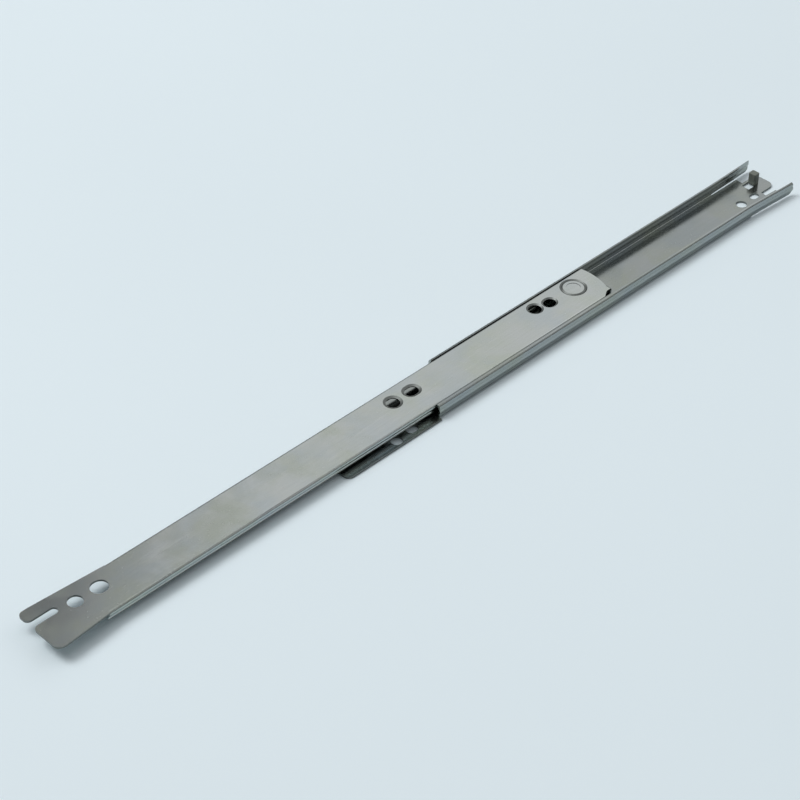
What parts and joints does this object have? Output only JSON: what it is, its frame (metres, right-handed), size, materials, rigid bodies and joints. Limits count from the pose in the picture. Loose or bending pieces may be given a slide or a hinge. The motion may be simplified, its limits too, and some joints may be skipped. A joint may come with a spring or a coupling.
{
  "type": "telescopic slide rail",
  "caption": "Ball-bearing drawer slide: an inner rail with a forked end runs on caged balls in a lipped outer channel.",
  "frame": {"origin": "middle of the cabinet member's length and width, on its mounting face", "axes": "+X along the rail towards its rear, the way the slide closes; +Z away from the mounting face; +Y towards the stop buffer's side"},
  "size_m": [0.6, 0.0396, 0.0097],
  "materials": {
    "zinc_steel": "satin zinc plate",
    "zinc_steel_bright": "satin zinc plate",
    "retainer_steel": "bright rolled strip",
    "ball_steel": "polished",
    "buffer_rubber": "matt"
  },
  "bodies": {
    "cabinet_member": {"outer_member": "zinc_steel", "rear_buffer": "buffer_rubber"},
    "drawer_member": {"inner_member": "zinc_steel_bright"},
    "ball_cage": {"ball_retainer": "retainer_steel", "ball_near_01": "ball_steel", "ball_near_02": "ball_steel", "ball_near_03": "ball_steel", "ball_near_04": "ball_steel", "ball_near_05": "ball_steel", "ball_near_06": "ball_steel", "ball_near_07": "ball_steel", "ball_near_08": "ball_steel", "ball_near_09": "ball_steel", "ball_far_01": "ball_steel", "ball_far_02": "ball_steel", "ball_far_03": "ball_steel", "ball_far_04": "ball_steel", "ball_far_05": "ball_steel", "ball_far_06": "ball_steel", "ball_far_07": "ball_steel", "ball_far_08": "ball_steel", "ball_far_09": "ball_steel"}
  },
  "joints": [
    {"name": "drawer_slide", "type": "slide", "parent": "cabinet_member", "child": "drawer_member", "axis": [1, 0, 0], "range_m": [-0.03, 0.1578]},
    {"name": "cage_slide", "type": "slide", "parent": "cabinet_member", "child": "ball_cage", "axis": [1, 0, 0], "range_m": [-0.015, 0.0789]}
  ],
  "couplings": [
    {"joint": "cage_slide", "follows": "drawer_slide", "ratio": 0.5}
  ]
}
